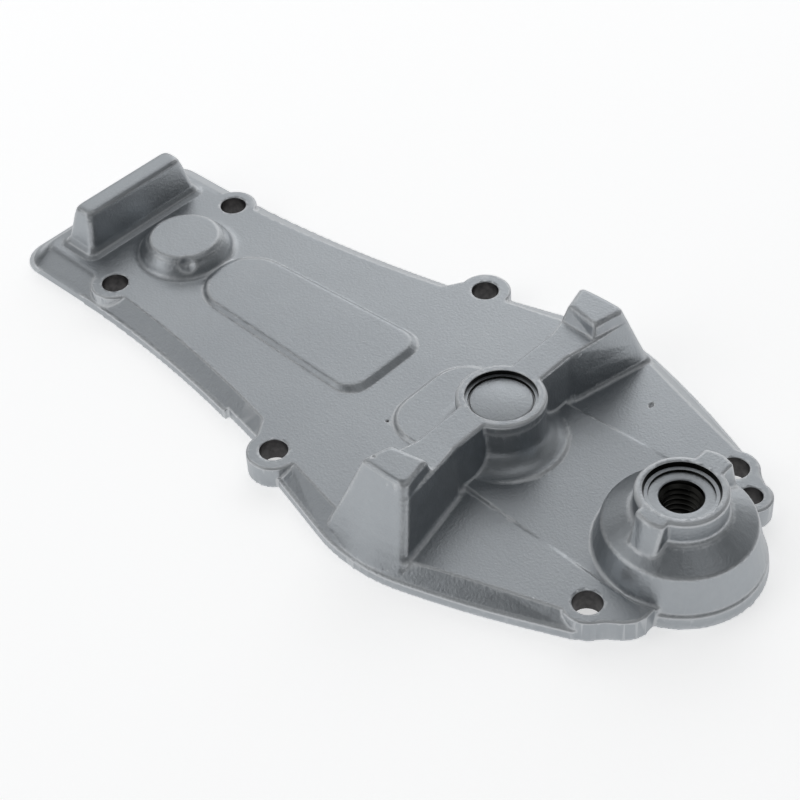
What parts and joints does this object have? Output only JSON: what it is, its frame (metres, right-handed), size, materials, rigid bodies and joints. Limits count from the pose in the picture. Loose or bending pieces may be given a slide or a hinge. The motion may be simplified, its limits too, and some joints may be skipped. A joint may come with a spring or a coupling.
{
  "type": "gearbox housing",
  "caption": "Cast cover half of a gearbox with screw ears, a cross rib, a bearing boss and a threaded round boss.",
  "frame": {"origin": "centre of the whole outline on the joint face", "axes": "+X along the length from the narrow tongue to the round boss, +Y across the plate, +Z out of the joint face towards the outside"},
  "size_m": [0.1756, 0.0788, 0.0186],
  "materials": {
    "housing": "satin silver-grey skin of a die casting"
  },
  "bodies": {
    "root": {"housing": "housing"}
  },
  "joints": []
}
